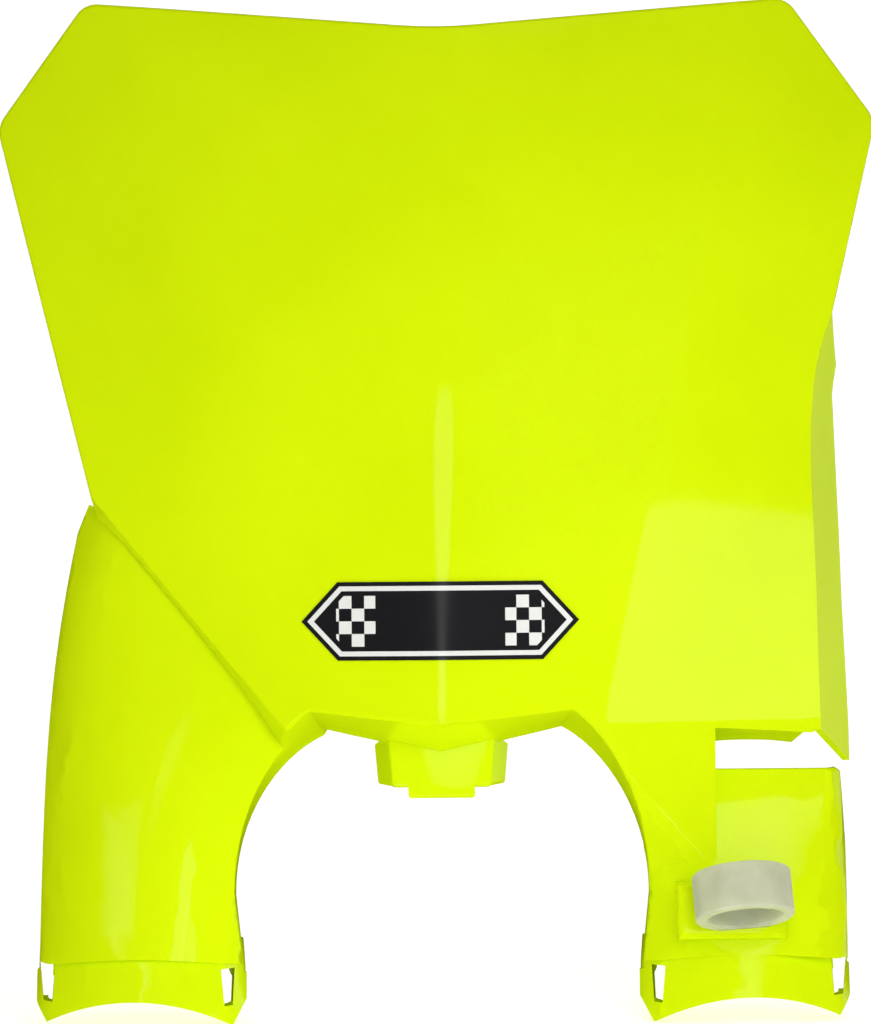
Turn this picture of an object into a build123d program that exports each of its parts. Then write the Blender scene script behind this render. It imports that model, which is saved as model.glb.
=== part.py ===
from build123d import *
import os
from dataclasses import dataclass
from math import copysign, cos, radians, sin, sqrt, tan

# A moulded front number board for an off-road motorcycle, in millimetres and degrees.
# X is across, Y runs to the rear and Z is up. The origin is the tip of the tongue.
# Depths are measured to the rear from the lowest point of the board's centre ridge.
# The mould draws along Y, so walls that show from the front lean back by their draft.

# Mould
wall = 2.4
rim_round = 1.2
edge_round = 1.5
leg_edge_round = 2.4
leg_top_round = 1.2
tab_edge_round = 1.2
tongue_depth = 21.5
through = 400.0

# Board outline, seen from the front
board_half_width = 147.0
board_widest_z = 224.5
shoulder_half_width = 117.0
shoulder_z = 265.2
top_dip_z = 255.5
side_corner_round = 9.0
shoulder_round = 8.0
top_dip_round = 160.0

# Board front surface: a soft V with two wings
surface_margin = 9.0
surface_columns = 40
surface_rows = 12
surface_accuracy = 0.02
column_crowding = 1.5
ridge_low_z = 20.0
fall_low = 5.5
fall_top = 2.5
ridge_soft_low = 3.0
ridge_soft_top = 60.0
bend_low_x = 54.0
bend_top_x = 106.0
bend_soft = 10.0
wing_angle = 12.0
lean_from_z = 130.0
lean_top = 8.0

# Strip of the board that runs down into the right leg and turns back at its foot
strip_fold_z = 18.0
strip_fold_angle = -1.5
strip_fold_soft = 15.0
strip_turn_in = 38.5
strip_turn_z = 0.0
strip_turn_low_z = -30.0
strip_turn_draft = 45.0
strip_turn_round = 8.0

# Arch between the legs, set in from the fork tubes, and how far it closes over one draft depth
arch_corner_in = 58.0
arch_corner_z = 29.8
arch_middle_z = 24.0
arch_foot_in = 32.8
arch_foot_z = -34.0
arch_end_in = 35.9
arch_end_z = -64.0
arch_haunch = 0.5
arch_haunch_drop = 0.125
arch_wall_depth = 22.0
draft_depth = 20.0
arch_draft_x = 3.2
arch_draft_z = 6.0
arch_draft_middle_z = 9.8

# Diagonal step between the board and the left leg, set in or out from the fork tube
step_top_out = 14.0
step_top_z = 100.5
step_low_in = 51.0
step_low_z = 21.8
step_draft = 22.0
leg_top_out = 14.2
leg_corner_out = 22.8
leg_corner_z = 81.2

# Right-hand side wall: front crease, flare and rear rim
side_top_x = 131.8
side_top_z = 160.0
side_top_slope = 0.45
side_bend_x = 125.0
side_bend_z = 132.0
side_crease_x = 124.4
side_crease_z = 80.0
side_foot_x = 125.0
side_foot_z = 20.8
side_foot_slope = 0.02
side_draft = 22.5
side_rim_top_depth = 14.7
side_rim_top_slope = 0.9
side_rim_upper_depth = 37.0
side_rim_upper_z = 126.0
side_rim_middle_depth = 43.2
side_rim_middle_z = 70.0
side_rim_foot_depth = 49.2
side_rim_foot_slope = 0.05
side_tip_drop = 12.1

# Hose window between the board and the right leg
strip_edge_in = 11.2
window_top_z = 25.6
window_low_z = 7.6
window_corner_round = 5.0
window_draft_x = 0.2
window_draft_z = 6.0
notch_start_in = 8.5
notch_end_in = 4.0

# Centre tab and tongue
tab_top_half_width = 18.4
tab_low_half_width = 16.4
tab_rear_flare = 5.0
tab_top_z = 26.0
tab_low_z = 2.2
tab_corner_round = 1.8
tab_depth = 20.0
tab_rear_depth = 36.0
tongue_width = 22.4
tongue_thickness = 3.0
tongue_tip_z = -1.4
tongue_root_z = 9.0
tongue_round = 1.2

# Fork legs
fork_tube_radius = 30.8
fork_clearance = 0.2
fork_half_spacing = 102.5
fork_rake = 19.0
saddle_z = -62.0
saddle_front_depth = -1.0
leg_rear_depth = 34.0

# Collar at the foot of each leg
collar_step_z = -53.0
collar_step_drop = 4.4
collar_overlap = 3.0
collar_bulge = 2.0
collar_bulge_inwards = 0.75
collar_low_z = -66.8
collar_inner_tip = 32.2
collar_inner_tip_z = -76.2
collar_outer_tip = 29.8
collar_outer_tip_z = -74.4
collar_corner_rise = 9.5
collar_shoulder = 32.0
collar_shoulder_drop = 5.5
slot_top_width = 4.8
slot_low_width = 2.9
slot_length = 12.0
slot_offset = 30.1
slot_splay = 5.0
slot_inner_z = -57.6
slot_outer_z = -55.6

# Hose guide ring and its cradle
ring_bore_radius = 12.4
ring_wall = 3.9
ring_length = 15.5
ring_in = 3.7
ring_z = -32.5
ring_depth = -9.5
ring_rake = 19.0
ring_turn = 4.2
ring_edge_break = 0.6
ring_clearance = 0.05
ring_entry = 3.0
cradle_inner_in = 24.7
cradle_outer_out = 11.5
cradle_top_z = -29.5
cradle_low_z = -48.0
cradle_front_depth = 1.0
cradle_round = 3.0

# Sticker
sticker_width = 92.0
sticker_height = 26.0
sticker_point = 12.0
sticker_z = 58.5
sticker_thickness = 0.4

arch_corner_x = fork_half_spacing - arch_corner_in
arch_foot_x = fork_half_spacing - arch_foot_in
arch_end_x = fork_half_spacing - arch_end_in
step_top_x = fork_half_spacing + step_top_out
step_low_x = fork_half_spacing - step_low_in
leg_top_x = fork_half_spacing + leg_top_out
leg_corner_x = fork_half_spacing + leg_corner_out
strip_turn_x = fork_half_spacing - strip_turn_in
strip_edge_x = fork_half_spacing - strip_edge_in
ring_x = fork_half_spacing - ring_in
cradle_inner_x = fork_half_spacing - cradle_inner_in
cradle_outer_x = fork_half_spacing + cradle_outer_out
notch_start_x = side_foot_x - notch_start_in
notch_end_x = side_foot_x - notch_end_in
saddle_radius = fork_tube_radius + fork_clearance
leg_radius = saddle_radius + wall
ring_outer_radius = ring_bore_radius + ring_wall
surface_half_width = board_half_width + surface_margin
surface_high_z = shoulder_z + surface_margin
surface_low_z = arch_foot_z - surface_margin


@dataclass
class LegSection:
    """A level cut through a leg, measured from its centre line: inwards, outwards and in depth.

    The front is flat from inner_flat to outer_flat and turns back to each reach in a quarter
    of an ellipse, which is as deep as its turn.
    """

    z: float
    inner_reach: float
    inner_flat: float
    outer_flat: float
    outer_reach: float
    front: float
    inner_turn: float
    outer_turn: float


# Each section's values stand in the order of the fields above
LEFT_LEG = (
    LegSection(-72, leg_radius + 2.6, 1, 1, leg_radius + 0.6, -3.0, 35, 35),
    LegSection(-42, leg_radius + 2.0, 1, 1, leg_radius, 2.2, 33, 33),
    LegSection(-14, leg_radius + 9, 3, 1, leg_radius - 1, 6.0, 28, 30),
    LegSection(40, leg_radius + 40, 6, 2, leg_radius - 5.2, 11.2, 18, 23),
    LegSection(75, leg_radius + 42, 6, 1, leg_radius - 10.8, 15.4, 18, 19),
    LegSection(106, leg_radius + 42, 8, 0.5, leg_radius - 18, 21.0, 18, 13),
)
RIGHT_LEG = (
    LegSection(-72, leg_radius + 2.6, 1, 1, leg_radius + 0.6, -4.6, 35, 35),
    LegSection(-34, leg_radius + 1.6, 8, 16, leg_radius + 0.7, 8.6, 28, 24),
    LegSection(16, leg_radius + 1, 18, 27, leg_radius - 2.2, 23.4, 14, 10),
)


def place(depth):
    """The Y of a depth behind the foot of the centre ridge."""
    return depth - tongue_depth


def soft_ramp(value, softness):
    """Zero below nought and rising one to one above it, rounded at the turn."""
    return (value + sqrt(value * value + softness * softness)) / 2


def board_y(x, z):
    """The Y of the board's front: a ridge that softens upwards, wings, a lean and a fold."""
    height = (z - ridge_low_z) / (shoulder_z - ridge_low_z)
    fall = tan(radians(fall_low)) * (1 - height) + tan(radians(fall_top)) * height
    softness = ridge_soft_low + (ridge_soft_top - ridge_soft_low) * max(height, 0) ** 2
    bend_x = bend_low_x + (bend_top_x - bend_low_x) * height
    ridge = fall * (sqrt(x * x + softness * softness) - softness)
    wing = (tan(radians(wing_angle)) - fall) * soft_ramp(abs(x) - bend_x, bend_soft)
    lean = lean_top * (max(z - lean_from_z, 0) / (shoulder_z - lean_from_z)) ** 2
    fold = tan(radians(strip_fold_angle)) * soft_ramp(strip_fold_z - z, strip_fold_soft)
    return place(ridge + wing + lean + fold)


def board_surface():
    """The board's front as one smooth face, with columns crowded towards the ridge."""
    half = surface_columns // 2
    rise = (surface_high_z - surface_low_z) / surface_rows
    shares = [column / half for column in range(-half, half + 1)]
    xs = [surface_half_width * copysign(abs(s) ** column_crowding, s) for s in shares]
    zs = [surface_low_z + rise * row for row in range(surface_rows + 1)]
    rows = [[Vector(x, board_y(x, z), z) for x in xs] for z in zs]
    return Face.make_surface_from_array_of_points(rows, tol=surface_accuracy)


def behind(depth, start=0.0):
    """All that lies from start to start + depth behind the board's front surface."""
    return Pos(0, start, 0) * extrude(FRONT, amount=depth, dir=(0, 1, 0))


def upright(depth):
    """A sketch plane that faces the front at a depth, with X across and Z up."""
    return Plane(origin=(0, place(depth), 0), x_dir=(1, 0, 0), z_dir=(0, -1, 0))


def prism(outline):
    """A front-view outline carried right through the part, front to rear."""
    return extrude(Plane.XZ * make_face(outline), amount=through, both=True)


def drafted(outline_at, front_depth, rear_depth):
    """A solid ruled between an outline at one depth and the same outline at another."""
    front_face = upright(front_depth) * make_face(outline_at(front_depth))
    rear_face = upright(rear_depth) * make_face(outline_at(rear_depth))
    return loft([front_face, rear_face], ruled=True)


def box_between(low, high):
    """A box from its lowest corner to its highest."""
    size = [top - bottom for bottom, top in zip(low, high)]
    return Pos(*low) * Box(*size, align=(Align.MIN, Align.MIN, Align.MIN))


def below(z):
    """All that lies below a height."""
    return box_between((-through, -through, -through), (through, through, z))


def in_front(depth):
    """All that lies in front of a depth."""
    return box_between((-through, -through, -through), (through, place(depth), through))


def round_front(solid, size, wanted):
    """The solid with those edges of its front face rounded whose middles are wanted."""
    front = solid.faces().sort_by(SortBy.AREA)[-2:].sort_by(Axis.Y)[0]
    edges = [edge for edge in front.edges() if wanted(edge @ 0.5)]
    return solid.solid().fillet(size, edges)


def board_outline():
    """Shoulders and sides; the step, the arch, the side wall and the strip are cut later."""
    edge_slope = (board_half_width - step_top_x) / (board_widest_z - step_top_z)
    edge_low_x = step_top_x - edge_slope * (step_top_z - step_low_z)
    corners = [
        ((-shoulder_half_width, shoulder_z), shoulder_round),
        ((0, top_dip_z), top_dip_round),
        ((shoulder_half_width, shoulder_z), shoulder_round),
        ((board_half_width, board_widest_z), side_corner_round),
        ((side_top_x, side_top_z), 0),
        ((surface_half_width, side_foot_z - side_tip_drop), 0),
        ((surface_half_width, arch_foot_z), 0),
        ((arch_corner_x, arch_foot_z), 0),
        ((arch_corner_x, 0), 0),
        ((-step_low_x, 0), 0),
        ((-edge_low_x, step_low_z), 0),
        ((-board_half_width, board_widest_z), side_corner_round),
    ]
    points = [point for point, _ in corners]
    return FilletPolyline(*points, radius=[size for _, size in corners], close=True)


def above_arch(point):
    """Whether an edge's middle lies on the board's outer rim."""
    return point.Z > arch_corner_z


def beside_arch(point):
    """Whether an edge's middle lies on the rim of the arch, above its foot."""
    return abs(point.X) < arch_foot_x and arch_foot_z / 2 < point.Z < arch_corner_z


def beside_turn(point):
    """Whether an edge's middle lies on the fold above the strip's foot."""
    return arch_foot_x - wall < point.X < strip_edge_x and arch_foot_z < point.Z < strip_turn_z


def beside_step(point):
    """Whether an edge's middle lies on the upper edge of the diagonal step."""
    return point.X < -step_low_x and point.Z < step_top_z


def arch_outline(depth, grow):
    """The arch at a depth, its top a shallow V and its sides round, grown by a wall."""
    share = depth / draft_depth
    corner_x = arch_corner_x - arch_draft_x * share + grow / 2
    corner_z = arch_corner_z - arch_draft_z * share + grow
    middle_z = arch_middle_z - arch_draft_middle_z * share + grow
    foot_x = arch_foot_x + grow
    end_x = arch_end_x + grow
    rise = corner_z - arch_foot_z
    haunch_x = corner_x + arch_haunch * (foot_x - corner_x)
    haunch_z = corner_z - arch_haunch_drop * rise
    lower_z = arch_foot_z + arch_haunch * rise
    top = Polyline((-corner_x, corner_z), (0, middle_z), (corner_x, corner_z))
    right = Bezier(
        (corner_x, corner_z), (haunch_x, haunch_z), (foot_x, lower_z), (foot_x, arch_foot_z)
    )
    left = Bezier(
        (-corner_x, corner_z), (-haunch_x, haunch_z), (-foot_x, lower_z), (-foot_x, arch_foot_z)
    )
    foot = Polyline(
        (foot_x, arch_foot_z), (end_x, arch_end_z), (-end_x, arch_end_z), (-foot_x, arch_foot_z)
    )
    return top + right + foot + left


def arch_void(grow):
    """The drafted space between the legs and under the board."""
    return drafted(lambda depth: arch_outline(depth, grow), -draft_depth, 4 * draft_depth)


def slanted_void(top_x, top_z, low_x, low_z, draft, grow):
    """All below and left of a slanted line on the board's front, leaned back by a draft."""
    top = Vector(top_x, board_y(top_x, top_z), top_z)
    low = Vector(low_x, board_y(low_x, low_z), low_z)
    run = low - top
    along = Vector(run.X, 0, run.Z).normalized()
    outwards = Vector(along.Z, 0, -along.X)
    lean = tan(radians(draft))
    turn = lean * run.Y / sqrt(run.X * run.X + run.Z * run.Z)
    normal = outwards + along * turn - Vector(0, lean, 0)
    face = Plane(origin=(top + low) / 2 - outwards * grow, z_dir=normal)
    return extrude(face * Rectangle(through, through), amount=through / 2)


def step_void(grow):
    """All on the leg's side of the diagonal step."""
    return slanted_void(-step_top_x, step_top_z, -step_low_x, step_low_z, step_draft, grow)


def strip_turn_void(grow):
    """All in front of the foot of the strip, which turns back into the right leg."""
    line = (strip_turn_x, strip_turn_z, strip_edge_x, strip_turn_low_z)
    right = box_between((arch_corner_x, -through, -through), (through, through, through))
    return slanted_void(*line, strip_turn_draft, grow) & right


def leg_top_cut():
    """All outside the left leg's slanted top corner."""
    run = Vector(leg_top_x - leg_corner_x, 0, leg_corner_z - step_top_z).normalized()
    face = Plane(origin=(-leg_corner_x, 0, leg_corner_z), z_dir=(run.Z, 0, -run.X))
    return extrude(face * Rectangle(through, through), amount=through / 2)


def side_outline(depth, grow):
    """All outside the right-hand wall at a depth, its crease a smooth curve."""
    edge_depth = board_y(side_top_x, side_top_z) + tongue_depth
    out = tan(radians(side_draft)) * (depth - edge_depth) - grow
    top = (side_top_x + out, side_top_z)
    foot = (side_foot_x + out, side_foot_z)
    far = surface_half_width + through / 4
    curve = Spline(
        top,
        (side_bend_x + out, side_bend_z),
        (side_crease_x + out, side_crease_z),
        foot,
        tangents=((-side_top_slope, -1), (side_foot_slope, -1)),
    )
    rest = Polyline(
        foot, (side_foot_x + out, surface_low_z), (far, surface_low_z), (far, side_top_z), top
    )
    return curve + rest


def side_void(grow):
    """The drafted space outside the right-hand wall, which starts at the board's own edge."""
    return drafted(lambda depth: side_outline(depth, grow), 0, 2 * side_rim_foot_depth)


def side_wall_reach():
    """All in front of the rear rim of the right-hand wall and above its slanted foot."""
    front = -through / 4
    top = (place(side_rim_top_depth), side_top_z)
    foot = (place(side_rim_foot_depth), side_foot_z - side_tip_drop)
    rim = Spline(
        top,
        (place(side_rim_upper_depth), side_rim_upper_z),
        (place(side_rim_middle_depth), side_rim_middle_z),
        foot,
        tangents=((side_rim_top_slope, -1), (side_rim_foot_slope, -1)),
    )
    corner = (board_y(side_foot_x, side_foot_z), side_foot_z)
    rest = Polyline(foot, corner, (front, side_foot_z), (front, side_top_z), top)
    outline = rim + rest
    return extrude(Plane.YZ * make_face(outline), amount=through)


def side_foot_cut():
    """All under the slanted foot of the right-hand wall, down to the leg's top."""
    start = board_y(side_foot_x, side_foot_z)
    end = place(side_rim_foot_depth)
    outline = Polyline(
        (start, side_foot_z),
        (end, side_foot_z - side_tip_drop),
        (end, window_low_z),
        (start, window_low_z),
        close=True,
    )
    return Pos(notch_end_x, 0, 0) * extrude(Plane.YZ * make_face(outline), amount=through)


def window_outline(depth, grow):
    """All below the board and right of the strip at a depth."""
    share = depth / draft_depth
    left = strip_edge_x + window_draft_x * share - grow
    top = window_top_z - window_draft_z * share + grow
    low = surface_low_z - through / 4
    far = surface_half_width + through / 4
    return Polyline((left, top), (far, top), (far, low), (left, low), close=True)


def window_void(grow):
    """The drafted space where the hose passes, for the board alone."""
    return drafted(lambda depth: window_outline(depth, grow), -draft_depth, 4 * draft_depth)


def window_notch(wall_inside):
    """The corner taken out of the window's upper wall beside the right-hand wall."""
    start_y = board_y(notch_start_x, window_top_z) + arch_wall_depth
    end_y = board_y(notch_end_x, window_top_z) + wall
    far_y = board_y(surface_half_width, window_top_z)
    outline = Polyline(
        (notch_start_x, start_y),
        (notch_end_x, end_y),
        (surface_half_width, far_y),
        (surface_half_width, through / 4),
        (notch_start_x, through / 4),
        close=True,
    )
    height = window_top_z + wall - window_low_z
    block = Pos(0, 0, window_low_z) * extrude(make_face(outline), amount=height)
    return block - wall_inside


def leg_face(section, side, inset):
    """One level cut of a leg: a flat front with an elliptic turn at each edge."""
    inner_flat = fork_half_spacing - section.inner_flat
    outer_flat = fork_half_spacing + section.outer_flat
    inner = fork_half_spacing - section.inner_reach + inset
    outer = fork_half_spacing + section.outer_reach - inset
    front = place(section.front) + inset
    inner_y = place(section.front + section.inner_turn)
    outer_y = place(section.front + section.outer_turn)
    rear = through / 4
    inner_turn = EllipticalCenterArc(
        (inner_flat, inner_y),
        inner_flat - inner,
        section.inner_turn - inset,
        start_angle=180,
        arc_size=90,
    )
    outer_turn = EllipticalCenterArc(
        (outer_flat, outer_y),
        outer - outer_flat,
        section.outer_turn - inset,
        start_angle=270,
        arc_size=90,
    )
    flat = Line((inner_flat, front), (outer_flat, front))
    rest = Polyline((outer, outer_y), (outer, rear), (inner, rear), (inner, inner_y))
    face = make_face(inner_turn + flat + outer_turn + rest)
    if side < 0:
        face = mirror(face, about=Plane.YZ)
    return Pos(0, 0, section.z) * face


def leg_form(sections, side, inset):
    """A leg's outer form, or its hollow when inset by the wall."""
    return loft([leg_face(section, side, inset) for section in sections])


def collar_step(side, reach):
    """The arched step between a leg and its collar, out to a reach on both sides."""
    middle = side * fork_half_spacing
    half = leg_radius + 2 * collar_bulge
    radius = (half * half + collar_step_drop * collar_step_drop) / (2 * collar_step_drop)
    end_z = collar_step_z - radius + sqrt(radius * radius - reach * reach)
    return ThreePointArc((middle - reach, end_z), (middle, collar_step_z), (middle + reach, end_z))


def leg_reach(side):
    """What a leg keeps: all above the collar's step and in front of the rear rim."""
    middle = side * fork_half_spacing
    step_end_z = collar_step_z - collar_step_drop
    step = collar_step(side, leg_radius + 2 * collar_bulge)
    left = middle - fork_half_spacing
    right = middle + fork_half_spacing
    rest = Polyline(step @ 1, (right, step_end_z), (right, surface_high_z),
                    (left, surface_high_z), (left, step_end_z), step @ 0)
    return prism(step + rest) & in_front(leg_rear_depth)


def window_cut():
    """All of the right leg that would stand in the hose window, with a rounded outer corner."""
    outer = fork_half_spacing + leg_radius
    keep = FilletPolyline(
        (0, surface_low_z - through / 4),
        (0, window_low_z),
        (outer, window_low_z),
        (outer, surface_low_z - through / 4),
        radius=[0, 0, window_corner_round, 0],
        close=True,
    )
    return box_between((0, -through, -through / 2), (through, through, through)) - prism(keep)


def round_arch_edge(leg):
    """The left leg with its long front edge along the arch rounded."""
    edges = leg.edges().filter_by(lambda edge: beside_arch(edge @ 0.5))
    front = edges.filter_by(lambda edge: (edge @ 0.5).Y < place(arch_wall_depth))
    return leg.solid().fillet(leg_edge_round, front.sort_by(SortBy.LENGTH)[-1:])


def round_leg_top(leg):
    """The right leg with the front edges of its top, in the hose window, rounded."""
    top = leg.faces().filter_by(Axis.Z).sort_by(Axis.Z)[-1]
    edges = [edge for edge in top.edges() if (edge @ 0.5).Y < place(arch_wall_depth)]
    return leg.solid().fillet(leg_top_round, edges)


def fork_axis(side):
    """The fork tube's axis at the saddle, raked so that it runs forward as it goes down."""
    rake = radians(fork_rake)
    middle = place(saddle_front_depth) + leg_radius / cos(rake)
    start = (side * fork_half_spacing, middle, saddle_z)
    return Plane(origin=start, x_dir=(1, 0, 0), z_dir=(0, -sin(rake), -cos(rake)))


def fork_tube(side):
    """The space that the fork tube takes."""
    return fork_axis(side) * Cylinder(saddle_radius, through)


def collar_outline(side):
    """The saddle band seen from the front: arched foot, slanted corners and an arched top."""
    middle = side * fork_half_spacing
    far = leg_radius + 2 * collar_bulge
    tips = {
        -side: (middle - side * collar_inner_tip, collar_inner_tip_z),
        side: (middle + side * collar_outer_tip, collar_outer_tip_z),
    }
    top = collar_step(side, collar_shoulder)
    shoulder = (top @ 0).Y - collar_shoulder_drop
    left, right = (
        Polyline(
            tips[end],
            (middle + end * far, tips[end][1] + collar_corner_rise),
            (middle + end * far, shoulder),
            shoulder_end,
        )
        for end, shoulder_end in ((-1, top @ 0), (1, top @ 1))
    )
    foot = ThreePointArc(tips[-1], (middle, collar_low_z), tips[1])
    return foot + right + top + left


def slot(side, end):
    """A strap slot through one end of a collar, narrower at its foot and splayed to the rear."""
    middle = side * (fork_half_spacing + end * slot_offset)
    top_z = slot_outer_z if end > 0 else slot_inner_z
    top = slot_top_width / 2
    low = slot_low_width / 2
    outline = Polyline(
        (-top, top_z),
        (top, top_z),
        (low, top_z - slot_length),
        (-low, top_z - slot_length),
        close=True,
    )
    return Pos(middle, 0, 0) * Rot(0, 0, -side * slot_splay) * prism(outline)


def collar(side, leg):
    """The saddle band: a raked half tube, wider than deep, with a lip up inside the leg."""
    shift = Pos(-side * collar_bulge_inwards, 0, 0)
    oval = extrude(
        fork_axis(side) * shift * Ellipse(leg_radius + collar_bulge, leg_radius),
        amount=through / 4,
        both=True,
    )
    half = leg_radius + collar_bulge
    middle = side * fork_half_spacing
    lip = box_between(
        (middle - half, -through / 4, collar_step_z - 2 * collar_step_drop),
        (middle + half, through / 4, collar_step_z + collar_overlap),
    )
    band = oval & prism(collar_outline(side)) & in_front(leg_rear_depth)
    return band + (oval & lip & leg)


def tab_outline(depth, inset, low_z):
    """The centre tab at a depth, flared to the rear, seen from the front."""
    flare = tab_rear_flare * (depth - tab_depth) / (tab_rear_depth - tab_depth)
    top = tab_top_half_width + flare - inset
    low = tab_low_half_width + flare - inset
    top_z = tab_top_z - inset
    return FilletPolyline(
        (-top, top_z),
        (top, top_z),
        (low, low_z),
        (-low, low_z),
        radius=[0, 0, tab_corner_round, tab_corner_round],
        close=True,
    )


def tab_form(inset, low_z):
    """The centre tab, or its hollow when inset by the wall and carried through its foot."""
    return drafted(
        lambda depth: tab_outline(depth, inset, low_z), tab_depth + inset, tab_rear_depth + inset
    )


def on_tab_face(point):
    """Whether an edge's middle lies on the tab's front, below the board."""
    return point.Z < tab_top_z


def tongue():
    """The flat tongue under the tab that plugs in behind the mudguard."""
    blade = box_between(
        (-tongue_width / 2, -tongue_thickness / 2, tongue_tip_z),
        (tongue_width / 2, tongue_thickness / 2, tongue_root_z),
    )
    return fillet(blade.faces().sort_by(Axis.Z)[0].edges(), tongue_round)


def ring_axis():
    """The hose guide's axis, raked like the fork and turned a little from upright."""
    middle = Location((ring_x, place(ring_depth), ring_z))
    return middle * Rot(0, -ring_turn, 0) * Rot(-ring_rake, 0, 0)


def cradle():
    """The platform on the right leg that the hose guide is let into."""
    block = box_between(
        (cradle_inner_x, place(cradle_front_depth), cradle_low_z),
        (cradle_outer_x, place(leg_rear_depth / 2), cradle_top_z),
    )
    front = block.faces().sort_by(Axis.Y)[0]
    return fillet(front.edges(), cradle_round)


def ring_seat():
    """The pocket for the hose guide, open at its top."""
    radius = ring_outer_radius + ring_clearance
    low = -ring_length / 2 - ring_clearance
    length = ring_length + ring_entry
    return ring_axis() * Pos(0, 0, low + length / 2) * Cylinder(radius, length)


def hose_guide():
    """The ring, cut from thick tube, with its four sharp edges broken."""
    ring = Cylinder(ring_outer_radius, ring_length) - Cylinder(ring_bore_radius, ring_length)
    return ring_axis() * chamfer(ring.edges().filter_by(GeomType.CIRCLE), ring_edge_break)


def sticker():
    """A six-sided sticker laid on the board's front."""
    half = sticker_width / 2
    shoulder = half - sticker_point
    top = sticker_z + sticker_height / 2
    low = sticker_z - sticker_height / 2
    outline = Polyline(
        (-half, sticker_z),
        (-shoulder, top),
        (shoulder, top),
        (half, sticker_z),
        (shoulder, low),
        (-shoulder, low),
        close=True,
    )
    return behind(sticker_thickness, -sticker_thickness) & prism(outline)


def number_plate():
    """The whole moulding: outer forms joined, hollows taken out, then the fittings."""
    region = prism(board_outline())
    arch = arch_void(0)
    arch_inside = arch_void(wall)
    flank = side_void(0)
    flank_inside = side_void(wall)

    board = behind(arch_wall_depth) & region
    board = round_front(board - strip_turn_void(0), strip_turn_round, beside_turn)
    board = round_front(board, rim_round, above_arch)
    board = round_front(board - arch, edge_round, beside_arch)
    board = round_front(board - step_void(0), edge_round, beside_step)
    board &= in_front(leg_rear_depth)
    board -= flank
    board -= window_void(0)
    board -= side_foot_cut()
    side_wall = behind(through / 4) & region & side_wall_reach()
    side_wall -= flank
    side_wall &= flank_inside
    board_hollow = behind(through / 4, wall)
    board_hollow -= arch_inside
    board_hollow -= step_void(wall)
    board_hollow -= strip_turn_void(wall)
    board_hollow -= flank_inside
    board_hollow -= window_void(wall)
    board_hollow -= below(arch_foot_z + wall)

    left_leg = round_arch_edge(leg_form(LEFT_LEG, -1, 0) - arch)
    left_leg -= leg_top_cut()
    left_hollow = leg_form(LEFT_LEG, -1, wall) - arch_inside
    right_leg = leg_form(RIGHT_LEG, 1, 0) - arch
    right_leg = round_leg_top(right_leg - window_cut())
    right_hollow = leg_form(RIGHT_LEG, 1, wall) - arch_inside
    right_hollow &= below(window_low_z)
    legs = {-1: left_leg, 1: right_leg}

    tab = round_front(tab_form(0, tab_low_z), tab_edge_round, on_tab_face)
    plate = board + side_wall + cradle() + tab
    for side, leg in legs.items():
        plate += leg & leg_reach(side)
    plate -= board_hollow
    plate -= window_notch(flank_inside)
    plate -= left_hollow
    plate -= right_hollow
    plate -= tab_form(wall, -through)
    plate -= ring_seat()
    plate += tongue()
    for side, leg in legs.items():
        plate += collar(side, leg)
        plate -= fork_tube(side)
        plate -= slot(side, -1)
        plate -= slot(side, 1)
    return plate


FRONT = board_surface()
NODES = {
    "number_plate": number_plate(),
    "hose_guide": hose_guide(),
    "decal": sticker(),
}

os.makedirs("parts", exist_ok=True)
for name, solid in NODES.items():
    export_step(Pos(0, 0, -tongue_tip_z) * solid, f"parts/{name}.step")
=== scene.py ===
"""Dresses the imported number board: finishes, a smooth moulded shell, studio light and camera.

Lengths are in metres in the part's own frame, with X across, Y to the rear, Z up and the origin
at the tip of the tongue under the board's centre tab. Angles are in degrees.
"""

import logging
import math
from dataclasses import dataclass, field
from enum import Enum
from typing import Any, Sequence

import bmesh
import bpy
import numpy as np
from mathutils import Matrix, Vector


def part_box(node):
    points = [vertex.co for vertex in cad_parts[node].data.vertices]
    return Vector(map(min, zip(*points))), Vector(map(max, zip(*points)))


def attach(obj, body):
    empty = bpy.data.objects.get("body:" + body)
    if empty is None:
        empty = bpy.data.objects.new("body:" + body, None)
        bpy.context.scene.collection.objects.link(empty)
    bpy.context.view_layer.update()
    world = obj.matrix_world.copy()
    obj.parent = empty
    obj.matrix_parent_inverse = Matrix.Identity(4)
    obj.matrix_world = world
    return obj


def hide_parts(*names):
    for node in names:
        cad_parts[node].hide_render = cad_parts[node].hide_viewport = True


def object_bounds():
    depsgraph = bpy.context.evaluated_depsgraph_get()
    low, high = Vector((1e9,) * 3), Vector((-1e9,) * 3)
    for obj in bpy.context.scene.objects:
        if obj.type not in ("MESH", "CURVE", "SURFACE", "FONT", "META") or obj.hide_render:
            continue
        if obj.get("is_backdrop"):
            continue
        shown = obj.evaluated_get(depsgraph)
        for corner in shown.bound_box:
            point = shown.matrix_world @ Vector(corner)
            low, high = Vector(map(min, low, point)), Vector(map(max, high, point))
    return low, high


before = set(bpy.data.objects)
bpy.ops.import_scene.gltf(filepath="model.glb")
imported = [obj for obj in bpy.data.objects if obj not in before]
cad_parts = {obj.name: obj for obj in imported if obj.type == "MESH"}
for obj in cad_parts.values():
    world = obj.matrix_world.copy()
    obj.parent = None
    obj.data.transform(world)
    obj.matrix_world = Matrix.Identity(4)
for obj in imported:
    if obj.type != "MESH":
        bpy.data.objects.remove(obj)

LOG = logging.getLogger("number_board")
ROOT = "root"
WHITE = (1.0, 1.0, 1.0, 1.0)
BLACK = (0.0, 0.0, 0.0, 1.0)
SHORTEST_ROW = 1e-12
WIDEST_BEAM = 179.0

Colour = tuple[float, float, float]
Place = tuple[float, float, float]
Span = tuple[float, float]
Array = np.ndarray
Socket = bpy.types.NodeSocket


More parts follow.
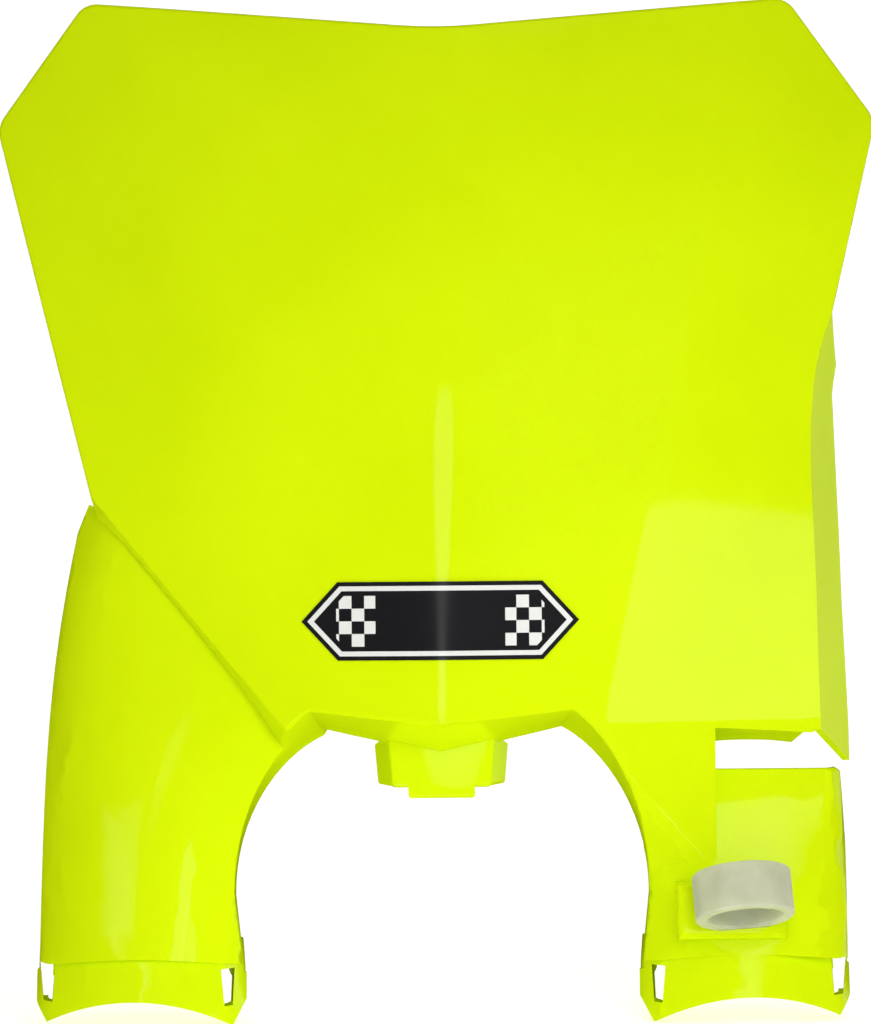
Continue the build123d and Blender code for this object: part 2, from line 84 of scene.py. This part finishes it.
class Node(Enum):
    """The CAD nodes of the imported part."""

    PLATE = "number_plate"
    GUIDE = "hose_guide"
    DECAL = "decal"


class Slot(Enum):
    """The record's material slots."""

    PLASTIC = "fluorescent_plastic"
    NYLON = "milky_nylon"
    FILM = "printed_film"


class Sum(Enum):
    """The sums that a Math node does."""

    SIZE = "ABSOLUTE"
    LESS = "SUBTRACT"
    TIMES = "MULTIPLY"
    LOWER = "MINIMUM"
    HIGHER = "MAXIMUM"
    ABOVE = "GREATER_THAN"
    BELOW = "LESS_THAN"


class Outline(Enum):
    """The outline of a soft box's lit face."""

    OBLONG = "RECTANGLE"
    OVAL = "ELLIPSE"


@dataclass
class NodeSheet:
    """A material's node tree, with short calls to add and join nodes."""

    name: str
    material: bpy.types.Material = field(init=False)
    shader: bpy.types.Node = field(init=False)

    def __post_init__(self) -> None:
        """Makes the material with one Principled shader."""
        self.material = bpy.data.materials.new(self.name)
        self.material.use_nodes = True
        self.shader = self.material.node_tree.nodes["Principled BSDF"]

    def add(self, kind: str, **settings: Any) -> bpy.types.Node:
        """Adds a node and sets its properties and input defaults.

        Args:
            kind: The node's type name.
            settings: Properties by name, or input values by socket name with spaces as "_".

        Returns:
            The new node.
        """
        node = self.material.node_tree.nodes.new(kind)
        for key, value in settings.items():
            if hasattr(node, key):
                setattr(node, key, value)
            else:
                node.inputs[key.replace("_", " ")].default_value = value
        return node

    def join(self, source: Socket, target: Socket) -> None:
        """Links an output socket to an input socket."""
        self.material.node_tree.links.new(source, target)

    def feed(self, **patterns: Socket) -> None:
        """Joins patterns to the shader, by socket name with spaces as "_"."""
        for key, pattern in patterns.items():
            self.join(pattern, self.shader.inputs[key.replace("_", " ")])

    def fix(self, **values: Any) -> None:
        """Sets constants on the shader's own sockets, by socket name with spaces as "_"."""
        for key, value in values.items():
            self.shader.inputs[key.replace("_", " ")].default_value = value

    def place(self) -> Socket:
        """The Object coordinates' output socket."""
        return self.add("ShaderNodeTexCoord").outputs["Object"]

    def parts(self, place: Socket) -> Any:
        """A place's X, Y and Z as output sockets by name."""
        node = self.add("ShaderNodeSeparateXYZ")
        self.join(place, node.inputs[0])
        return node.outputs

    def maths(self, operation: Sum, *values: float | Socket) -> Socket:
        """A Math node fed with numbers or sockets.

        Args:
            operation: The sum to do.
            values: Numbers or output sockets, in order.

        Returns:
            The node's output socket.
        """
        node = self.add("ShaderNodeMath", operation=operation.value)
        for socket, value in zip(node.inputs, values):
            if isinstance(value, (int, float)):
                socket.default_value = value
            else:
                self.join(value, socket)
        return node.outputs[0]

    def within(self, value: Socket, low: float, high: float) -> Socket:
        """One where a value lies between two limits, and nought elsewhere."""
        above = self.maths(Sum.ABOVE, value, low)
        return self.maths(Sum.TIMES, above, self.maths(Sum.BELOW, value, high))

    def noise(self, place: Socket, scale: float, detail: float = 2.0) -> Socket:
        """A noise pattern's grey output.

        Args:
            place: The coordinates to read.
            scale: Cells per metre.
            detail: How many finer layers are added.

        Returns:
            The pattern, from 0 to 1.
        """
        node = self.add("ShaderNodeTexNoise", Scale=scale, Detail=detail)
        self.join(place, node.inputs["Vector"])
        return node.outputs["Fac"]

    def ramp(self, fac: Socket, low: Sequence[float], high: Sequence[float],
             start: float = 0.35, end: float = 0.65) -> Socket:
        """A two-colour ramp.

        Args:
            fac: The socket that drives it.
            low: Colour at and below start.
            high: Colour at and above end.
            start: Where the ramp begins.
            end: Where the ramp ends.

        Returns:
            The colour output socket.
        """
        node = self.add("ShaderNodeValToRGB")
        first, last = node.color_ramp.elements
        first.position, last.position = start, end
        first.color = (*low, 1.0)
        last.color = (*high, 1.0)
        self.join(fac, node.inputs["Fac"])
        return node.outputs["Color"]

    def span(self, fac: Socket, low: float, high: float) -> Socket:
        """Maps a pattern from 0..1 to low..high."""
        node = self.add("ShaderNodeMapRange", To_Min=low, To_Max=high)
        self.join(fac, node.inputs["Value"])
        return node.outputs["Result"]

    def bump(self, height: Socket, distance: float, strength: float) -> Socket:
        """A bump from a height pattern.

        Args:
            height: The pattern.
            distance: Its full height.
            strength: The share of it that shows.

        Returns:
            The bumped normal's socket.
        """
        node = self.add("ShaderNodeBump", Distance=distance, Strength=strength)
        self.join(height, node.inputs["Height"])
        return node.outputs["Normal"]


@dataclass(frozen=True)
class FluorescentPlastic:
    """Glossy fluorescent polypropylene with faint flow marks and a fine orange-peel skin."""

    bright: Colour = (0.70, 0.895, 0.003)
    deep: Colour = (0.66, 0.845, 0.002)
    flow_scale: float = 14.0
    flow_detail: float = 3.0
    roughness: Span = (0.035, 0.055)
    patch_scale: float = 56.0
    peel_scale: float = 520.0
    peel_detail: float = 1.0
    peel_depth: float = 0.00004
    peel_strength: float = 0.1
    gloss: float = 0.42
    # Painted glow: an even yellow-green emission that lifts the plastic's shaded faces as much as
    # its lit ones.
    glow: Colour = (0.55, 0.72, 0.0)
    painted_glow_strength: float = 0.05
    bleed: float = 0.12
    bleed_tint: Colour = (1.0, 1.0, 0.2)
    bleed_depth: float = 0.004

    def material(self) -> bpy.types.Material:
        """Builds the material from flow marks, a patchy gloss, the skin's bump and a painted glow
        that lifts its shaded faces.

        Returns:
            The material.
        """
        sheet = NodeSheet("fluorescent_yellow_plastic")
        place = sheet.place()
        flow = sheet.noise(place, self.flow_scale, self.flow_detail)
        patches = sheet.noise(place, self.patch_scale)
        peel = sheet.noise(place, self.peel_scale, self.peel_detail)
        sheet.feed(
            Base_Color=sheet.ramp(flow, self.deep, self.bright),
            Roughness=sheet.span(patches, *self.roughness),
            Normal=sheet.bump(peel, self.peel_depth, self.peel_strength),
        )
        sheet.fix(
            Specular_IOR_Level=self.gloss,
            # Emission: the painted glow that lifts the shaded faces.
            Emission_Color=(*self.glow, 1.0),
            Emission_Strength=self.painted_glow_strength,
            Subsurface_Weight=self.bleed,
            Subsurface_Radius=self.bleed_tint,
            Subsurface_Scale=self.bleed_depth,
        )
        return sheet.material


@dataclass(frozen=True)
class MilkyNylon:
    """Natural nylon: milky, soft-edged and a little see-through, with fine cut marks."""

    clear: Colour = (0.53, 0.54, 0.44)
    cloudy: Colour = (0.45, 0.46, 0.35)
    cloud_scale: float = 110.0
    cloud_detail: float = 4.0
    roughness: Span = (0.36, 0.5)
    cut_scale: float = 900.0
    cut_detail: float = 1.0
    cut_depth: float = 0.00005
    cut_strength: float = 0.3
    bleed: float = 0.8
    bleed_tint: Colour = (1.0, 0.95, 0.7)
    bleed_depth: float = 0.012
    see_through: float = 0.15
    ior: float = 1.5
    # Painted glow: an even emission that brightens the ring's shaded bore and sides.
    glow: Colour = (0.62, 0.64, 0.40)
    painted_glow_strength: float = 0.12

    def material(self) -> bpy.types.Material:
        """Builds the material from cloudy patches, the cut marks' bump and a painted glow that
        brightens its shaded bore.

        Returns:
            The material.
        """
        sheet = NodeSheet("milky_nylon")
        place = sheet.place()
        cloud = sheet.noise(place, self.cloud_scale, self.cloud_detail)
        cuts = sheet.noise(place, self.cut_scale, self.cut_detail)
        sheet.feed(
            Base_Color=sheet.ramp(cloud, self.cloudy, self.clear),
            Roughness=sheet.span(cloud, *self.roughness),
            Normal=sheet.bump(cuts, self.cut_depth, self.cut_strength),
        )
        sheet.fix(
            Subsurface_Weight=self.bleed,
            Subsurface_Radius=self.bleed_tint,
            Subsurface_Scale=self.bleed_depth,
            Transmission_Weight=self.see_through,
            IOR=self.ior,
            # Emission: the painted glow that brightens the shaded bore.
            Emission_Color=(*self.glow, 1.0),
            Emission_Strength=self.painted_glow_strength,
        )
        return sheet.material


@dataclass(frozen=True)
class PrintedFilm:
    """Black printed vinyl with a white keyline and a plain checked band at each end."""

    ink: Colour = (0.012, 0.012, 0.014)
    white: Colour = (0.82, 0.83, 0.80)
    keyline_from: float = 0.0014
    keyline_to: float = 0.0030
    check: float = 0.0042
    check_from: float = 0.0215
    check_to: float = 0.0345
    roughness: Span = (0.16, 0.24)
    haze_scale: float = 60.0
    coat: float = 0.4
    coat_roughness: float = 0.12

    def material(self, low: Vector, high: Vector, point: float) -> bpy.types.Material:
        """Builds the material for a six-sided sticker.

        Args:
            low: The sticker's lowest corner.
            high: The sticker's highest corner.
            point: How far its pointed ends reach beyond its shoulders.

        Returns:
            The material.
        """
        sheet = NodeSheet("printed_film")
        place = sheet.place()
        parts = sheet.parts(place)
        middle = (low + high) / 2
        across = sheet.maths(Sum.SIZE, sheet.maths(Sum.LESS, parts["X"], middle.x))
        up = sheet.maths(Sum.LESS, parts["Z"], middle.z)
        inset = self.inset(sheet, across, up, (high - low) / 2, point)
        keyline = sheet.within(inset, self.keyline_from, self.keyline_to)
        band = sheet.within(across, self.check_from, self.check_to)
        clear = sheet.maths(Sum.ABOVE, inset, 2 * self.keyline_to - self.keyline_from)
        checks = sheet.maths(
            Sum.TIMES, sheet.maths(Sum.TIMES, band, clear), self.squares(sheet, parts["X"], up)
        )
        printed = sheet.maths(Sum.HIGHER, keyline, checks)
        haze = sheet.noise(place, self.haze_scale)
        sheet.feed(
            Base_Color=sheet.ramp(printed, self.ink, self.white),
            Roughness=sheet.span(haze, *self.roughness),
        )
        sheet.fix(Coat_Weight=self.coat, Coat_Roughness=self.coat_roughness)
        return sheet.material

    @staticmethod
    def inset(sheet: NodeSheet, across: Socket, up: Socket, half: Vector, point: float) -> Socket:
        """How far in from the outline a place lies: the lesser of two distances.

        One is to the flat side above or below, the other to the slanted side of the near point.

        Args:
            sheet: The material's node tree.
            across: Distance from the middle, across.
            up: Height above the middle.
            half: Half the sticker's size.
            point: How far its pointed ends reach beyond its shoulders.

        Returns:
            The distance's socket.
        """
        height = sheet.maths(Sum.SIZE, up)
        slant = math.hypot(point, half.z)
        to_flat = sheet.maths(Sum.LESS, half.z, height)
        to_tip = sheet.maths(Sum.LESS, half.x, across)
        to_slant = sheet.maths(
            Sum.LESS,
            sheet.maths(Sum.TIMES, to_tip, half.z / slant),
            sheet.maths(Sum.TIMES, height, point / slant),
        )
        return sheet.maths(Sum.LOWER, to_flat, to_slant)

    def squares(self, sheet: NodeSheet, x: Socket, up: Socket) -> Socket:
        """Black and white squares in the plane of X and Z.

        Args:
            sheet: The material's node tree.
            x: Place across.
            up: Height above the middle.

        Returns:
            The pattern's socket, one on white and nought on black.
        """
        board = sheet.add(
            "ShaderNodeTexChecker", Scale=1.0 / self.check, Color1=WHITE, Color2=BLACK
        )
        flat = sheet.add("ShaderNodeCombineXYZ", Y=self.check / 2)
        sheet.join(x, flat.inputs["X"])
        sheet.join(up, flat.inputs["Z"])
        sheet.join(flat.outputs[0], board.inputs["Vector"])
        return board.outputs["Fac"]


@dataclass(frozen=True)
class StudioPaper:
    """Seamless white paper, lit to white behind the object and dim in front of it."""

    tint: Colour = (0.93, 0.93, 0.93)
    grain_scale: float = 30.0
    grain_shade: float = 0.985
    roughness: float = 0.9
    glow: float = 0.50
    dim_to: float = -0.25
    bright_from: float = -0.02

    def material(self) -> bpy.types.Material:
        """Builds the material, whose glow rises along Y from nought to full.

        Returns:
            The material.
        """
        sheet = NodeSheet("studio_paper")
        place = sheet.place()
        lit = sheet.add(
            "ShaderNodeMapRange", From_Min=self.dim_to, From_Max=self.bright_from, To_Max=self.glow
        )
        sheet.join(sheet.parts(place)["Y"], lit.inputs["Value"])
        grain = sheet.noise(place, self.grain_scale)
        shade = tuple(self.grain_shade * channel for channel in self.tint)
        sheet.feed(
            Base_Color=sheet.ramp(grain, shade, self.tint),
            Emission_Strength=lit.outputs["Result"],
        )
        sheet.fix(Roughness=self.roughness, Emission_Color=WHITE)
        return sheet.material


@dataclass(frozen=True)
class BoardForm:
    """The board's front face as a formula: a ridge, wings, a lean and a fold."""

    ridge_low: float = 0.0214
    top: float = 0.2666
    middle: float = -0.0215
    fall_low: float = 5.5
    fall_top: float = 2.5
    soft_low: float = 0.003
    soft_top: float = 0.060
    bend_low: float = 0.054
    bend_top: float = 0.106
    bend_soft: float = 0.010
    wing: float = 12.0
    lean_from: float = 0.1314
    lean: float = 0.008
    fold_z: float = 0.0194
    fold: float = -1.5
    fold_soft: float = 0.015
    probe: float = 0.0002

    @staticmethod
    def ramp(value: Array, softness: float) -> Array:
        """Zero below nought and rising one to one above it, rounded at the turn."""
        return (value + np.sqrt(value**2 + softness**2)) / 2

    def depth(self, x: Array, z: Array) -> Array:
        """The Y of the front face.

        The ridge is a hyperbola across X that softens upwards, and each wing adds a rounded
        ramp beyond its bend. The lean is a parabola in Z, and the fold a rounded ramp in Z.

        Args:
            x: Places across.
            z: Heights.

        Returns:
            Y at each place.
        """
        height = (z - self.ridge_low) / (self.top - self.ridge_low)
        low, high = np.tan(np.radians([self.fall_low, self.fall_top]))
        fall = low + (high - low) * height
        soft = self.soft_low + (self.soft_top - self.soft_low) * np.maximum(height, 0.0) ** 2
        bend = self.bend_low + (self.bend_top - self.bend_low) * height
        ridge = fall * (np.sqrt(x**2 + soft**2) - soft)
        wing = (np.tan(np.radians(self.wing)) - fall) * self.ramp(np.abs(x) - bend, self.bend_soft)
        rise = np.maximum(z - self.lean_from, 0.0) / (self.top - self.lean_from)
        fold = np.tan(np.radians(self.fold)) * self.ramp(self.fold_z - z, self.fold_soft)
        return self.middle + ridge + wing + self.lean * rise**2 + fold

    def normals(self, x: Array, z: Array) -> Array:
        """Unit normals of the front face, which point to the front.

        The slopes in X and in Z are differences over two short steps.

        Args:
            x: Places across.
            z: Heights.

        Returns:
            Array of places x 3.
        """
        step = self.probe
        across = (self.depth(x + step, z) - self.depth(x - step, z)) / (2 * step)
        upward = (self.depth(x, z + step) - self.depth(x, z - step)) / (2 * step)
        normals = np.stack([across, -np.ones_like(x), upward], axis=-1)
        return normals / np.linalg.norm(normals, axis=-1, keepdims=True)


def read(items: Any, name: str, width: int, kind: type = float) -> Array:
    """Reads one attribute of a mesh's vertices, edges or loops.

    Args:
        items: The vertices, edges or loops.
        name: The attribute.
        width: How many numbers it has.
        kind: The numbers' type.

    Returns:
        Array of items x width.
    """
    values = np.empty(len(items) * width, kind)
    items.foreach_get(name, values)
    return values.reshape(-1, width)


def gather(index: Array, rows: Array, count: int) -> Array:
    """Sums rows of three by index."""
    return np.stack([np.bincount(index, rows[:, axis], count) for axis in range(3)], axis=-1)


def unit(rows: Array) -> Array:
    """Rows of three, each made one long."""
    return rows / np.maximum(np.linalg.norm(rows, axis=1, keepdims=True), SHORTEST_ROW)


@dataclass
class MouldedShell:
    """A copy of a CAD node with small, even facets and smooth shading between its sharp edges.

    The solid's front lies on form, and lit_form gives the normals there. Its fold is crisper than
    the solid's, so the strip below it mirrors none of what the board above it mirrors.
    """

    longest: float = 0.0045
    merge_gap: float = 0.000002
    rounds: int = 7
    sharp_angle: float = 28.0
    blur_steps: int = 40
    likeness: float = 0.105
    near: float = 0.00012
    agreement: float = 0.97
    form: BoardForm = BoardForm()
    lit_form: BoardForm = BoardForm(fold_z=0.0255, fold=-9.0, fold_soft=0.002)

    def build(self, source: bpy.types.Object, name: str,
              offsets: Sequence[float]) -> bpy.types.Object:
        """Makes the shell.

        Args:
            source: The CAD node's object.
            name: The new object's name.
            offsets: How far behind the board's front the faces lie that follow its formula.

        Returns:
            The new object, at the origin.
        """
        shell = bmesh.new()
        shell.from_mesh(source.data)
        bmesh.ops.remove_doubles(shell, verts=shell.verts, dist=self.merge_gap)
        self.refine(shell)
        mesh = bpy.data.meshes.new(name)
        shell.to_mesh(mesh)
        sharp = [
            edge for edge in shell.edges
            if edge.is_manifold and edge.calc_face_angle() > math.radians(self.sharp_angle)
        ]
        bmesh.ops.split_edges(shell, edges=sharp)
        patches = bpy.data.meshes.new("patches")
        shell.to_mesh(patches)
        shell.free()
        mesh.polygons.foreach_set("use_smooth", np.ones(len(mesh.polygons), bool))
        mesh.normals_split_custom_set(self.shading(patches, offsets))
        bpy.data.meshes.remove(patches)
        made = bpy.data.objects.new(name, mesh)
        bpy.context.scene.collection.objects.link(made)
        return made

    def refine(self, shell: bmesh.types.BMesh) -> None:
        """Halves the long edges, round after round, until none is left.

        Args:
            shell: The mesh to refine.
        """
        bmesh.ops.triangulate(shell, faces=shell.faces)
        for _ in range(self.rounds):
            long_edges = [edge for edge in shell.edges if edge.calc_length() > self.longest]
            bmesh.ops.subdivide_edges(shell, edges=long_edges, cuts=1)
            bmesh.ops.triangulate(shell, faces=shell.faces)

    def shading(self, patches: bpy.types.Mesh, offsets: Sequence[float]) -> Array:
        """Smooth normals for each corner of each face.

        Area-weighted normals are averaged along edges, again and again, with weights that die
        away as two normals differ. Where the shell lies on the board's formula, the formula's
        own normals hold.

        Args:
            patches: The mesh, split along its sharp edges.
            offsets: How far behind the board's front the faces lie that follow its formula.

        Returns:
            Array of corners x 3.
        """
        places = read(patches.vertices, "co", 3)
        edges = read(patches.edges, "vertices", 2, int)
        corners = read(patches.loops, "vertex_index", 1, int).ravel()
        triangles = corners.reshape(-1, 3)
        a, b, c = (places[triangles[:, corner]] for corner in range(3))
        facets = np.repeat(np.cross(b - a, c - a), 3, axis=0)
        normals = unit(gather(corners, facets, len(places)))
        known = self.set_exact(places, normals, offsets)
        fixed = normals[known]
        ends = np.concatenate([edges[:, 0], edges[:, 1]])
        others = np.concatenate([edges[:, 1], edges[:, 0]])
        for _ in range(self.blur_steps):
            gap = np.sum((normals[ends] - normals[others]) ** 2, axis=1)
            weight = np.exp(-gap / (2 * self.likeness**2))
            normals = unit(normals + gather(ends, normals[others] * weight[:, None], len(places)))
            normals[known] = fixed
        return normals[corners]

    def set_exact(self, places: Array, normals: Array, offsets: Sequence[float]) -> Array:
        """Sets the formula's normals where the shell lies on the formula and faces its way.

        Args:
            places: The vertices.
            normals: Their normals, changed in place.
            offsets: How far behind the board's front the faces lie that follow its formula.

        Returns:
            Which vertices have the formula's normals.
        """
        known = np.zeros(len(places), bool)
        exact = self.lit_form.normals(places[:, 0], places[:, 2])
        front = self.form.depth(places[:, 0], places[:, 2])
        for offset in offsets:
            along = np.sum(exact * normals, axis=1)
            on_form = np.abs(places[:, 1] - front - offset) < self.near
            on_form &= np.abs(along) > self.agreement
            normals[on_form] = (exact * np.sign(along)[:, None])[on_form]
            known |= on_form
        return known


def dress(piece: bpy.types.Object, material: bpy.types.Material, node: Node) -> None:
    """Gives a piece its material and its place in the part.

    Args:
        piece: The object to dress.
        material: Its material.
        node: The CAD node that the piece stands for.
    """
    piece.data.materials.append(material)
    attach(piece, ROOT)
    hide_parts(node.value)


@dataclass
class NumberBoard:
    """The moulded board: its shell, made smooth, and its finish."""

    wall: float = 0.0024
    finish: FluorescentPlastic = FluorescentPlastic()

    def build(self) -> bpy.types.Object:
        """Makes and dresses the board.

        Returns:
            The board.
        """
        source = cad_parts[Node.PLATE.value]
        board = MouldedShell().build(source, "moulded_board", (0.0, self.wall))
        dress(board, self.finish.material(), Node.PLATE)
        return board


@dataclass
class HoseGuide:
    """The milky ring in its cradle."""

    longest: float = 0.002
    finish: MilkyNylon = MilkyNylon()

    def build(self) -> bpy.types.Object:
        """Makes and dresses the ring.

        Returns:
            The ring.
        """
        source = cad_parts[Node.GUIDE.value]
        ring = MouldedShell(self.longest).build(source, "hose_ring", ())
        dress(ring, self.finish.material(), Node.GUIDE)
        return ring


@dataclass
class Sticker:
    """The sticker on the board's front."""

    thickness: float = 0.0004
    point: float = 0.012
    longest: float = 0.002
    finish: PrintedFilm = PrintedFilm()

    def build(self) -> bpy.types.Object:
        """Makes and dresses the sticker.

        Returns:
            The sticker.
        """
        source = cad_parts[Node.DECAL.value]
        offsets = (0.0, -self.thickness)
        film = MouldedShell(self.longest).build(source, "front_sticker", offsets)
        low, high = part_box(Node.DECAL.value)
        dress(film, self.finish.material(low, high, self.point), Node.DECAL)
        return film


@dataclass(frozen=True)
class Softbox:
    """A flat area light that faces a point, with a grid that can narrow its beam."""

    name: str
    at: Place
    aim: Place
    width: float
    height: float
    brightness: float
    gleams: bool = True
    beam: float = 180.0
    roll: float = 0.0
    outline: Outline = Outline.OBLONG

    def watts(self) -> float:
        """The power that gives the box its brightness along the middle of its beam.

        A grid takes half its beam's angle over that angle's tangent out of the light.

        Returns:
            The power.
        """
        half = math.radians(min(self.beam, WIDEST_BEAM) / 2)
        area = self.width * self.height
        if self.outline is Outline.OVAL:
            area *= math.pi / 4
        return self.brightness * math.pi * area * (1.0 - half / math.tan(half))

    def build(self) -> bpy.types.Object:
        """Makes the light, seen in reflections only if it gleams.

        Returns:
            The light.
        """
        data = bpy.data.lights.new(self.name, "AREA")
        data.shape = self.outline.value
        data.size, data.size_y = self.width, self.height
        data.spread = math.radians(self.beam)
        data.energy = self.watts()
        lamp = bpy.data.objects.new(self.name, data)
        lamp.visible_camera = False
        lamp.visible_glossy = self.gleams
        facing = (Vector(self.aim) - Vector(self.at)).to_track_quat("-Z", "Y").to_matrix().to_4x4()
        facing @= Matrix.Rotation(math.radians(self.roll), 4, "Z")
        lamp.matrix_world = Matrix.Translation(self.at) @ facing
        bpy.context.scene.collection.objects.link(lamp)
        return lamp


SOFTBOXES = (
    # Light that shows in no reflection
    Softbox("key", at=(0.133, -0.42, 0.133), aim=(-0.3, 0.0, -0.1),
            width=0.2, height=0.2, brightness=6.9, gleams=False),
    Softbox("leg_fill", at=(0.0, -0.9, 0.5), aim=(0.0, 0.0, -0.05),
            width=0.3, height=0.3, brightness=2.5, gleams=False, beam=40.0),
    # The board's patch at the lower right, the line down its ridge and the gleam on the tab
    Softbox("low_right", at=(0.3325, -0.5, 0.002), aim=(0.3325, 0.0, 0.002),
            width=0.217, height=0.089, brightness=1.0, roll=-8.5),
    Softbox("ridge", at=(0.03, -1.5, -0.03), aim=(0.0, 0.0, 0.035),
            width=0.19, height=0.44, brightness=1.45, beam=20.0, outline=Outline.OVAL),
    Softbox("tab", at=(0.0, -1.5, -0.60), aim=(0.0, 0.0, -0.05),
            width=0.7, height=0.4, brightness=0.9),
    # The flat of the right leg, three streaks on the left leg and the side wall
    Softbox("facet", at=(0.26, -1.5, 0.79), aim=(0.105, 0.0, -0.01),
            width=0.60, height=0.24, brightness=1.6, beam=22.0),
    Softbox("leg_near", at=(-0.182, -0.3, 0.028), aim=(-0.107, -0.018, -0.045),
            width=0.15, height=0.02, brightness=1.0, beam=30.0),
    Softbox("leg_far", at=(-0.27, -0.3, 0.028), aim=(-0.107, -0.018, -0.045),
            width=0.175, height=0.02, brightness=1.0, beam=30.0),
    Softbox("leg_side", at=(0.71, -0.5, 0.04), aim=(-0.085, -0.015, -0.04),
            width=0.5, height=0.06, brightness=0.9, beam=60.0),
    Softbox("flange", at=(0.91, 0.93, 0.04), aim=(0.131, 0.01, 0.06),
            width=0.45, height=0.55, brightness=0.25, beam=40.0),
)


def grid_mesh(name: str, points: Array) -> bpy.types.Object:
    """A mesh of quads over a grid of points.

    Args:
        name: The mesh's name.
        points: Array of rows x columns x 3.

    Returns:
        A new object at the origin.
    """
    rows, columns, _ = points.shape
    index = np.arange(rows * columns).reshape(rows, columns)
    quads = np.stack(
        [index[:-1, :-1], index[:-1, 1:], index[1:, 1:], index[1:, :-1]], axis=-1
    ).reshape(-1, 4)
    mesh = bpy.data.meshes.new(name)
    mesh.from_pydata(points.reshape(-1, 3).tolist(), [], quads.tolist())
    mesh.polygons.foreach_set("use_smooth", np.ones(len(quads), bool))
    made = bpy.data.objects.new(name, mesh)
    bpy.context.scene.collection.objects.link(made)
    return made


@dataclass
class Studio:
    """Seamless paper, soft boxes, room light and the camera."""

    paper: StudioPaper = StudioPaper()
    sweep_radius: float = 0.7
    sweep_from: float = 1.3
    sweep_points: int = 25
    half_width: float = 4.0
    front_reach: float = 4.0
    wall_height: float = 3.0
    room_light: float = 0.485
    softboxes: tuple[Softbox, ...] = SOFTBOXES
    distance: float = 1.6
    pixels_per_metre: float = 2982.0
    image_height: float = 1024.0
    aim: Place = (-0.0013, 0.0, 0.0959)
    roll: float = -0.48
    sensor: float = 36.0
    farthest: float = 50.0

    def sweep(self, floor_z: float) -> bpy.types.Object:
        """The paper: a flat floor, a quarter circle and a wall, carried across in X.

        Args:
            floor_z: Height of the floor.

        Returns:
            The new object.
        """
        turn = np.linspace(0.0, np.pi / 2, self.sweep_points)
        curve_y = self.sweep_from + self.sweep_radius * np.sin(turn)
        curve_z = floor_z + self.sweep_radius * (1.0 - np.cos(turn))
        path_y = np.concatenate([[-self.front_reach], curve_y, [curve_y[-1]]])
        path_z = np.concatenate([[floor_z], curve_z, [floor_z + self.wall_height]])
        across = np.array([-self.half_width, self.half_width])
        points = np.empty((2, len(path_y), 3))
        points[..., 0] = across[:, None]
        points[..., 1] = path_y
        points[..., 2] = path_z
        paper = grid_mesh("studio_sweep", points)
        paper.data.materials.append(self.paper.material())
        paper.visible_glossy = False
        paper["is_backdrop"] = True
        return paper

    def camera(self) -> bpy.types.Object:
        """The camera: level, square to the board, with the photograph's slight roll.

        Returns:
            The camera, set as the scene's own.
        """
        data = bpy.data.cameras.new("camera")
        data.sensor_width = self.sensor
        data.lens = self.sensor * self.distance * self.pixels_per_metre / self.image_height
        data.clip_end = self.farthest
        eye = bpy.data.objects.new("camera", data)
        turn = Matrix.Rotation(math.radians(90.0), 4, "X")
        turn @= Matrix.Rotation(math.radians(self.roll), 4, "Z")
        x, y, z = self.aim
        eye.matrix_world = Matrix.Translation((x, y - self.distance, z)) @ turn
        bpy.context.scene.collection.objects.link(eye)
        bpy.context.scene.camera = eye
        return eye

    def lights(self) -> list[bpy.types.Object]:
        """The soft boxes, and the room's even light, which shows in no reflection.

        Returns:
            The soft boxes' lights.
        """
        world = bpy.data.worlds.new("room")
        world.use_nodes = True
        back = world.node_tree.nodes["Background"].inputs
        back["Color"].default_value = WHITE
        back["Strength"].default_value = self.room_light
        world.cycles_visibility.glossy = False
        bpy.context.scene.world = world
        return [box.build() for box in self.softboxes]

    def build(self, floor_z: float) -> None:
        """Makes everything round the object.

        Args:
            floor_z: Height of the floor.
        """
        self.sweep(floor_z)
        self.lights()
        self.camera()
        bpy.context.scene.view_settings.view_transform = "Standard"


def main() -> None:
    """Builds the studio and each sub-assembly in order, and reports each piece."""
    logging.basicConfig(level=logging.INFO, format="%(name)s: %(message)s")
    cad_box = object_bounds()
    Studio().build(cad_box[0].z)
    for assembly in (NumberBoard(), HoseGuide(), Sticker()):
        piece = assembly.build()
        LOG.info("built %s with %d faces", piece.name, len(piece.data.polygons))


if __name__ == "__main__":
    main()
